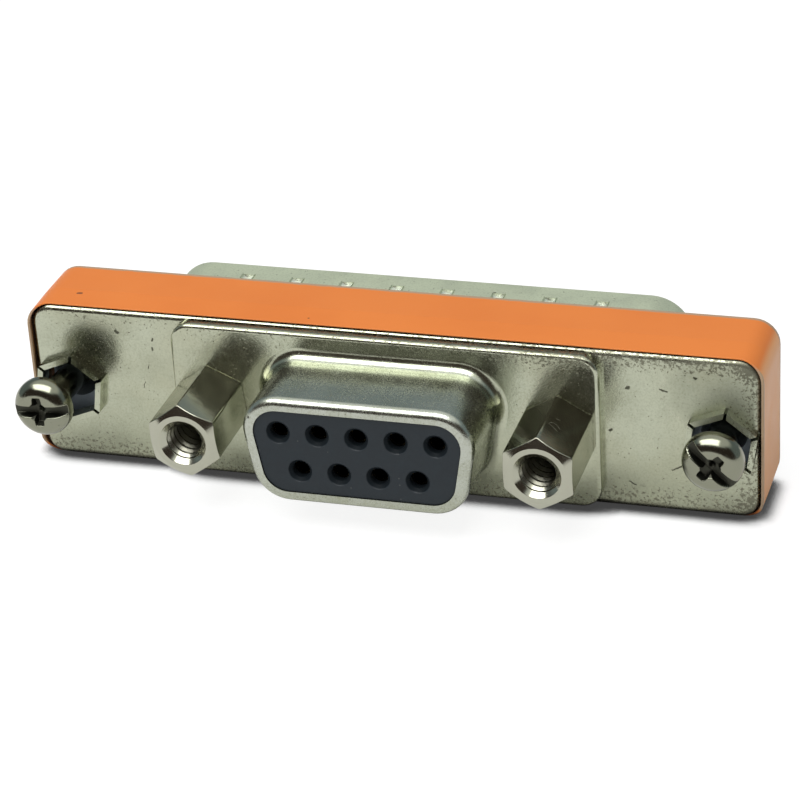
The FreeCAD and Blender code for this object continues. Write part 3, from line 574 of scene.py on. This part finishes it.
def roundedPath(corners, radii, steps=5, guard=0.03):
    # a path of straight runs whose corners are arcs: each arc is tangent to both runs, and a point just beyond
    # every arc keeps the runs flat; corners are (radius, height) pairs, or one such pair for each angle
    corners = [np.atleast_2d(np.asarray(corner, float)) for corner in corners]
    columns = max(len(corner) for corner in corners)
    corners = [np.broadcast_to(corner, (columns, 2)) for corner in corners]

    def unit(vector):
        return vector / np.linalg.norm(vector, axis=-1, keepdims=True)

    arcs = [[corners[0]]]
    for before, here, after, radius in zip(corners, corners[1:], corners[2:], radii):
        back, ahead = unit(before - here), unit(after - here)
        if not radius:
            arcs.append([here])
            continue
        half = np.arccos(np.clip((back * ahead).sum(-1, keepdims=True), -1, 1)) / 2
        centre = here + unit(back + ahead) * radius / np.sin(half)
        first, last = (here + side * radius / np.tan(half) - centre for side in (back, ahead))
        turn = math.pi - 2 * half
        arcs.append([centre + (np.sin((1 - t) * turn) * first + np.sin(t * turn) * last) / np.sin(turn)
                     for t in np.linspace(0, 1, steps)])
    arcs.append([corners[-1]])
    rows = list(arcs[0])
    for arc in arcs[1:]:
        run = arc[0] - rows[-1]
        length = np.linalg.norm(run, axis=-1, keepdims=True)
        step = run / length * np.minimum(guard, length / 4)
        rows += [rows[-1] + step, arc[0] - step, *arc]
    return np.stack(rows)


def evenPath(path, count):  # the same path with its points at equal distances
    along = np.concatenate([[0], np.cumsum(np.linalg.norm(np.diff(path, axis=0), axis=1))])
    wanted = np.linspace(0, along[-1], count)
    return np.stack([np.interp(wanted, along, path[:, k]) for k in (0, 1)], axis=-1)


def turn(path, angles):  # x = radius cos(angle), y = radius sin(angle), z = height
    path = np.broadcast_to(path, (len(path), len(angles), 2))
    return np.stack([path[..., 0] * np.cos(angles), path[..., 0] * np.sin(angles), path[..., 1]], axis=-1)


def lowerOf(first, second, width):  # the lower of two heights, rounded over the width where they cross
    share = np.clip(0.5 + (second - first) / (2 * width), 0, 1)
    return second + (first - second) * share - width * share * (1 - share)


def threadWave(angles, heights, pitch):  # 0 at the root and 1 at the crest of a right-hand thread
    phase = heights / pitch - angles / (2 * math.pi)
    wave = np.abs(2 * (phase - np.floor(phase)) - 1)
    return np.clip((wave - 0.1) / 0.8, 0, 1)


def facingFront(points, x, y, yaw=0.0, pitch=0.0):  # local z points forwards, to -Y, and then leans
    turned = np.stack([points[..., 0], -points[..., 2], points[..., 1]], axis=-1)
    lean = Matrix.Rotation(math.radians(yaw), 3, "Z") @ Matrix.Rotation(math.radians(pitch), 3, "X")
    return turned @ np.array(lean).T + (x, y, midHeight)


def makePiece(name, points, look, body, replaced, recessShade=None):
    # points are rows by columns in mm: four neighbours make a face, and the last column joins the first;
    # the last argument is 1 at the bottom of a recess, where its material paints shade
    rows, columns = points.shape[:2]
    index = np.arange(rows * columns).reshape(rows, columns)
    after = np.roll(index, -1, axis=1)
    faces = np.stack([index[:-1], after[:-1], after[1:], index[1:]], axis=-1).reshape(-1, 4)
    along = np.linalg.norm(np.diff(points, axis=0), axis=-1).mean(axis=1)
    along = np.concatenate([[0], np.cumsum(along)])
    u, v = np.meshgrid(np.arange(columns) / columns, along)
    step = 1 / columns
    corners = [(u[:-1], v[:-1]), (u[:-1] + step, v[:-1]), (u[:-1] + step, v[1:]), (u[:-1], v[1:])]
    mesh = bpy.data.meshes.new(name)
    mesh.from_pydata((points.reshape(-1, 3) * mm).tolist(), [], faces.tolist())
    layer = mesh.uv_layers.new(name="turned")
    corners = np.stack([np.stack(corner, -1) for corner in corners], axis=2)
    layer.data.foreach_set("uv", corners.astype(np.float32).ravel())
    if recessShade is not None:
        mesh.attributes.new("recessShade", "FLOAT", "POINT").data.foreach_set("value", recessShade.ravel().astype(np.float32))
    draft = bmesh.new()
    draft.from_mesh(mesh)
    bmesh.ops.remove_doubles(draft, verts=draft.verts, dist=1e-8)
    bmesh.ops.recalc_face_normals(draft, faces=draft.faces)
    draft.to_mesh(mesh)
    draft.free()
    mesh.shade_smooth()
    mesh.materials.append(look)
    piece = bpy.data.objects.new(name, mesh)
    bpy.context.scene.collection.objects.link(piece)
    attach(piece, body)
    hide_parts(replaced)
    return piece


# band

band = {
    "width": 52.86,
    "height": 12.46,
    "corner": 1.8,
    "rim": 0.22,
    "wall": 1.0,
    "seat": 1.37,  # the plates' turned-back edges end here
    "back": 3.25,
    "frontSide": 3.08,  # how far the rim reaches forwards at the sides, at the top and at the bottom
    "frontTop": 2.75,
    "frontBottom": 2.3,
    "draftFrom": 0.5,  # the outside leans in from this depth forwards
    "draftTop": 0.11,
    "draftBottom": 0.08,
    "draftSide": 0.03,
    "edge": 0.12,
}


def roundedRectangle(width, height, corner, arcSteps=9, runSteps=24):
    # places on the outline and outward directions: corner centre + corner radius (cos a, sin a)
    places, directions = [], []
    for number, (sx, sz) in enumerate(((1, 1), (-1, 1), (-1, -1), (1, -1))):
        angles = (number + np.linspace(0, 1, arcSteps)) * math.pi / 2
        outward = np.stack([np.cos(angles), np.sin(angles)], axis=-1)
        places.append(np.array([sx * (width / 2 - corner), sz * (height / 2 - corner)]) + corner * outward)
        directions.append(outward)
    for number in range(4):
        share = np.linspace(0, 1, runSteps)[1:-1, None]
        start, end = places[number][-1], places[(number + 1) % 4][0]
        places[number] = np.concatenate([places[number], start + (end - start) * share])
        straight = np.repeat(directions[number][-1:], len(share), 0)
        directions[number] = np.concatenate([directions[number], straight])
    return np.concatenate(places), np.concatenate(directions)


def makeBand(name, replaced, values):
    # the band's cross section, as inset from the outline and depth, carried once round the outline
    outline, outward = roundedRectangle(values["width"], values["height"], values["corner"])
    sideShare = outward[:, 0] ** 2
    top, bottom = np.maximum(outward[:, 1], 0) ** 2, np.minimum(outward[:, 1], 0) ** 2
    front = -(values["frontSide"] * sideShare + values["frontTop"] * top + values["frontBottom"] * bottom)
    draft = values["draftTop"] * top + values["draftBottom"] * bottom + values["draftSide"] * sideShare
    rim, wall, seat, back = values["rim"], values["wall"], values["seat"], values["back"]
    path = roundedPath([
        (0, 0), (0, back), (rim, back), (rim, seat), (wall, seat), (wall, -seat), (rim, -seat),
        np.stack([rim + 0 * front, front], -1), np.stack([draft, front], -1), (0, -values["draftFrom"]), (0, 0),
    ], [values["edge"], 0.06, 0.05, 0.05, 0.05, 0.05, 0.03, 0.05, 0.4])
    flat = outline - outward * path[..., :1]
    points = np.stack([flat[..., 0], path[..., 1], flat[..., 1] + midHeight], axis=-1)
    makePiece(name, points, slotLooks["band_plastic"], "adapter", replaced)


makeBand("orangeBand", "band", band)
print("band made")


# standoffs

standoff = {
    "flats": 4.76,
    "corner": 0.22,  # rounding of the six long edges
    "length": 6.35,
    "face": 4.15,  # across the flat end, inside its chamfer
    "chamfer": 30,
    "mouth": 3.4,
    "mouthEdge": 0.12,
    "root": 2.84,
    "crest": 2.36,
    "pitch": 0.635,
    "floor": 1.35,
    "drillPoint": 0.6,
    "dullShadeFrom": 0.3,  # painted shade: the bore is darker, and rougher, below this depth, and fully so a bit deeper
    "dullShadeRun": 1.2,
    "dullestShade": 0.55,
    "stud": 2.75,
    "studLength": 2.4,
    "studLead": 0.2,
    "side": 12.485,
    "base": -3.8,  # the platform's face
    "leftTurn": 6.0,
    "rightTurn": 0.0,
}


def hexagonAngles(flats, corner, turned):
    # angles and radii round a hexagon with a corner on top: radius = half flats / cos(angle from the flat's
    # middle), and on the corner the arc's own distance, centre cos(a) + sqrt(corner^2 - (centre sin(a))^2)
    centre = (flats / 2 - corner) / math.cos(math.pi / 6)
    half = math.atan2(corner / 2, centre + corner * math.cos(math.pi / 6))
    onArc = np.linspace(-half, half, 6)[:-1]
    onSide = half + (math.pi / 3 - 2 * half) * np.array([0, 0.03, 0.2, 0.35, 0.5, 0.65, 0.8, 0.97])
    arcRadius = centre * np.cos(onArc) + np.sqrt(corner ** 2 - (centre * np.sin(onArc)) ** 2)
    sideRadius = flats / 2 / np.cos(math.pi / 6 - onSide)
    angles = (np.arange(6)[:, None] * math.pi / 3 + math.pi / 2 + np.concatenate([onArc, onSide])).ravel()
    angles = angles + math.radians(turned)
    return angles, np.tile(np.concatenate([arcRadius, sideRadius]), 6)


def makeStandoff(name, replaced, x, turned, values):
    # one closed surface: stud, hexagon, chamfer cone, end ring, countersink, threaded bore, conical floor
    angles, outline = hexagonAngles(values["flats"], values["corner"], turned)
    length, face, mouth, stud = values["length"], values["face"] / 2, values["mouth"] / 2, values["stud"] / 2
    lead, low, mouthEdge = values["studLead"], -values["studLength"], values["mouthEdge"]
    edge = length - (outline - face) * math.tan(math.radians(values["chamfer"]))
    outside = roundedPath([
        (0, low), (stud - lead, low), (stud, low + lead), (stud, 0),
        np.stack([outline, np.zeros_like(outline)], -1), np.stack([outline, edge], -1), (face, length),
        (mouth, length), (mouth - mouthEdge, length - mouthEdge),
    ], [0.03, 0.03, 0.03, 0.05, 0.07, 0.05, 0.04])
    heights = np.linspace(length - mouthEdge, values["floor"], 120)[1:, None] + 0 * angles
    wave = threadWave(angles, heights, values["pitch"])
    bore = values["root"] / 2 - (values["root"] - values["crest"]) / 2 * wave
    bore = np.maximum(bore, mouth - (length - heights))
    inside = np.stack([bore, heights], axis=-1)
    end = np.stack([0 * angles, 0 * angles + values["floor"] - values["drillPoint"]], axis=-1)[None]
    points = turn(np.concatenate([outside, inside, end]), angles)
    # painted shade deeper in the bore
    recessShade = np.clip((length - values["dullShadeFrom"] - points[..., 2]) / values["dullShadeRun"], 0, values["dullestShade"])
    recessShade[:len(outside)] = 0
    makePiece(name, facingFront(points, x, values["base"]), turnedNickelLook, "adapter",
              replaced, recessShade)


makeStandoff("hexStandoffLeft", "standoff_left", -standoff["side"], standoff["leftTurn"], standoff)
makeStandoff("hexStandoffRight", "standoff_right", standoff["side"], standoff["rightTurn"], standoff)
print("standoffs made")


# jackscrews

jackscrew = {
    "head": 4.25,
    "height": 1.5,
    "crown": (1.5, 0.1),  # the dome's two slopes meet here: from the axis, and down from the top
    "brow": 0.72,
    "neck": 2.1,
    "neckLength": 10.3,
    "thread": 2.8,
    "length": 13.4,
    "pitch": 0.635,
    "slotWidth": 0.64,
    "slotDepth": 0.78,
    "crossDepth": 0.82,
    "crossDish": 0.25,
    "crossEnd": 2.2,
    "pitDepth": 1.15,
    "pitSlope": 1.5,
    "crossWidth": 0.56,
    "crossReach": 1.12,
    "wallSlope": 7.0,
    "side": 23.52,
    "left": {"out": 3.25, "turn": 4, "yaw": -1.9, "pitch": -1.7},
    "right": {"out": 1.95, "turn": -43, "yaw": 0.0, "pitch": 0.0},
}


def recessHeight(x, y, turned, values):
    # floor of the slot and of the cross: flat strips whose walls climb away from them, and a pit in the middle
    bearing = math.radians(turned)
    along = x * math.cos(bearing) + y * math.sin(bearing)
    across = np.abs(y * math.cos(bearing) - x * math.sin(bearing))
    steep, top = values["wallSlope"], values["height"]
    slot = top - values["slotDepth"] + steep * np.maximum(across - values["slotWidth"] / 2, 0)
    arms = top - values["crossDepth"] + values["crossDish"] * across
    arms = arms + steep * np.maximum(np.abs(along) - values["crossWidth"] / 2, 0)
    arms = arms + values["crossEnd"] * np.maximum(across - values["crossReach"] + 0.25, 0)
    pit = top - values["pitDepth"] + values["pitSlope"] * np.hypot(along, across)
    return lowerOf(lowerOf(slot, arms, 0.04), pit, 0.04)


def makeJackscrew(name, replaced, side, body, values):
    # one closed surface: domed head sunk where the recess is lower, neck, helical thread and its flat tip
    at = values["left" if side < 0 else "right"]
    head, neck, crest = values["head"] / 2, values["neck"] / 2, values["thread"] / 2
    top, shoulder, tip = values["height"], -values["neckLength"], -values["length"]
    angles = np.linspace(0, 2 * math.pi, 216, endpoint=False)
    out, down = values["crown"]
    dome = [(0, top), (out, top - down), (head, top - values["brow"]), (head, 0.2)]
    dome = evenPath(roundedPath(dome, [1.1, 1.0], steps=12)[:, 0], 110)
    under = roundedPath([(head, 0.2), (head, 0), (neck, 0), (neck, -0.4)], [0.1, 0.08])[1:, 0]
    points = turn(np.concatenate([dome, under])[:, None], angles)
    recess = recessHeight(points[..., 0], points[..., 1], at["turn"], values)
    onTop = np.arange(len(points)) < len(dome)
    # painted shade at the bottom of the slot and the cross
    recessShade = np.clip((points[..., 2] - recess) / 0.07, 0, 1) * onTop[:, None]
    points[onTop, :, 2] = lowerOf(points[..., 2], recess, 0.05)[onTop]
    heights = np.linspace(shoulder, tip, 90)[:, None] + 0 * angles
    fade = np.clip((shoulder - heights) / values["pitch"], 0, 1)
    radii = neck + (crest - neck) * threadWave(angles, heights, values["pitch"]) * fade
    radii = np.minimum(radii, crest - 0.3 + (heights - tip))
    shank = turn(np.stack([radii, heights], axis=-1), angles)
    end = turn(np.array([[[0.0, tip]]]), angles)
    points = np.concatenate([points, shank, end])
    recessShade = np.concatenate([recessShade, np.zeros((len(points) - len(recessShade), len(angles)))])
    arm = 2 * plateFace + 0.8 + at["out"]  # from the rear plate's face to the underside of the head
    yaw, pitch = math.radians(at["yaw"]), math.radians(at["pitch"])
    foot = np.array([math.sin(yaw) * math.cos(pitch), -math.cos(yaw) * math.cos(pitch), -math.sin(pitch)]) * arm
    points = facingFront(points, 0, 0, at["yaw"], at["pitch"]) + foot + (side * values["side"], plateFace, 0)
    makePiece(name, points, brightScrewLook, body, replaced, recessShade)


makeJackscrew("panScrewLeft", "jackscrew_left", -1, "screw_left", jackscrew)
makeJackscrew("panScrewRight", "jackscrew_right", 1, "screw_right", jackscrew)
print("jackscrews made")


# pins

pin = {"diameter": 1.02, "tip": 4.95, "tipFlat": 0.24, "taper": 0.55, "collar": 1.9, "collarBack": -1.25,
       "collarThick": 0.3, "tail": 0.7, "end": -3.15}


def makePin(name, replaced, values):  # a turned profile: bullet tip, shaft, collar and tail
    radius, tip, back = values["diameter"] / 2, values["tip"], values["collarBack"]
    front, collar, tail = back + values["collarThick"], values["collar"] / 2, values["tail"] / 2
    path = roundedPath([
        (0, tip), (values["tipFlat"], tip), (radius, tip - values["taper"]), (radius, front), (collar, front),
        (collar, back), (tail, back), (tail, values["end"]), (0, values["end"]),
    ], [0.16, 0.5, 0.02, 0.03, 0.03, 0.02, 0.08], steps=4)
    points = turn(path, np.linspace(0, 2 * math.pi, 24, endpoint=False))
    low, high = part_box(replaced)
    x, z = ((low[k] + high[k]) / 2 / mm for k in (0, 2))
    points = np.stack([points[..., 0] + x, points[..., 2] + plateFace, z - points[..., 1]], axis=-1)
    makePiece(name, points, goldPinLook, "adapter", replaced)


for number in range(1, 26):
    makePin(f"turnedPin{number:02d}", f"pin_contact_{number:02d}", pin)
print("pins made")


# stage

studio = {
    "floorHalf": 2.0,
    "floorTone": 0.26,
    "floorBounceTone": 0.60,  # what dull surfaces see of it
    "floorMirrorTone": 0.92,  # what the metal sees of it
    "floorGlow": 0.87,  # added for the camera, so that the paper is white
    "contactShadowReach": 0.0018,
    "contactShadowTone": 0.06,
    "mirrorGlow": 0.10,
    "fill": 0.30,
    "overhead": (0.90, 0.92, 0.90, 1),
    "backSide": (0.24, 0.29, 0.31, 1),
    "roomSide": (0.055, 0.042, 0.036, 1),  # the unlit side, behind the camera
    "lampPower": 3.2,
    "lampWide": 0.62,
    "lampDeep": 0.42,
    "lampPlace": (-0.15, -0.25, 0.52),
}


def makeFloor(values):
    half = values["floorHalf"]
    mesh = bpy.data.meshes.new("floor")
    corners = [(-half, -half, 0), (half, -half, 0), (half, half, 0), (-half, half, 0)]
    mesh.from_pydata(corners, [], [(0, 1, 2, 3)])
    floor = bpy.data.objects.new("floor", mesh)
    bpy.context.scene.collection.objects.link(floor)
    material, tree, shader, place = newMaterial("floorPaper")
    shader.inputs["Roughness"].default_value = 0.9
    shader.inputs["Specular IOR Level"].default_value = 0
    rays = addNode(tree, "ShaderNodeLightPath").outputs
    mirrored = calc(tree, "MAXIMUM", rays["Is Glossy Ray"], rays["Is Transmission Ray"])
    grain = rise(tree, noise(tree, place, 900.0, 3.0), 0.0, 1.0, 0.98, 1.02)
    tone = rise(tree, rays["Is Camera Ray"], 0, 1, values["floorBounceTone"], values["floorTone"])
    tone = calc(tree, "MAXIMUM", tone, calc(tree, "MULTIPLY", mirrored, values["floorMirrorTone"]))
    # painted shadow: the paper is darker where the object shelters it
    shelter = addNode(tree, "ShaderNodeAmbientOcclusion", {"samples": 8}, Distance=values["contactShadowReach"])
    contactShadow = rise(tree, shelter.outputs["AO"], 0.45, 0.85, values["contactShadowTone"], 1.0)
    shade = calc(tree, "MULTIPLY", calc(tree, "MULTIPLY", grain, tone), contactShadow)
    shade = addNode(tree, "ShaderNodeCombineColor", Red=shade, Green=shade, Blue=shade).outputs[0]
    tree.links.new(shade, shader.inputs["Base Color"])
    glow = calc(tree, "ADD", calc(tree, "MULTIPLY", rays["Is Camera Ray"], values["floorGlow"]),
                calc(tree, "MULTIPLY", mirrored, values["mirrorGlow"]))
    glow = calc(tree, "MULTIPLY", glow, contactShadow)
    glow = addNode(tree, "ShaderNodeCombineColor", Red=glow, Green=glow, Blue=glow).outputs[0]
    tree.links.new(glow, shader.inputs["Emission Color"])
    shader.inputs["Emission Strength"].default_value = 1
    mesh.materials.append(material)


def makeWorld(values):
    world = bpy.data.worlds.new("softWorld")
    bpy.context.scene.world = world
    world.use_nodes = True
    tree = world.node_tree
    rays = addNode(tree, "ShaderNodeLightPath").outputs
    toward = addNode(tree, "ShaderNodeSeparateXYZ", n0=addNode(tree, "ShaderNodeTexCoord").outputs["Generated"])
    ahead = rise(tree, toward.outputs[1], -0.15, -0.45)
    lower = rise(tree, toward.outputs[2], 0.74, 0.60)
    mirrored = blend(tree, rise(tree, toward.outputs[2], 0.55, 0.80), values["backSide"], values["overhead"])
    mirrored = blend(tree, calc(tree, "MULTIPLY", ahead, lower), mirrored, values["roomSide"])
    fill = (values["fill"],) * 3 + (1,)
    lit = blend(tree, calc(tree, "MAXIMUM", rays["Is Glossy Ray"], rays["Is Transmission Ray"]), fill, mirrored)
    shown = blend(tree, rays["Is Camera Ray"], lit, (1, 1, 1, 1))
    tree.links.new(shown, tree.nodes["Background"].inputs["Color"])


def makeLamp(name, values):
    lamp = bpy.data.objects.new(name, bpy.data.lights.new(name, "AREA"))
    bpy.context.scene.collection.objects.link(lamp)
    lamp.data.shape = "RECTANGLE"
    lamp.data.energy = values["lampPower"]
    lamp.data.size, lamp.data.size_y = values["lampWide"], values["lampDeep"]
    lamp.location = values["lampPlace"]


makeFloor(studio)
makeWorld(studio)
makeLamp("softBox", studio)
bpy.context.scene.view_settings.view_transform = "Standard"
print("stage made")
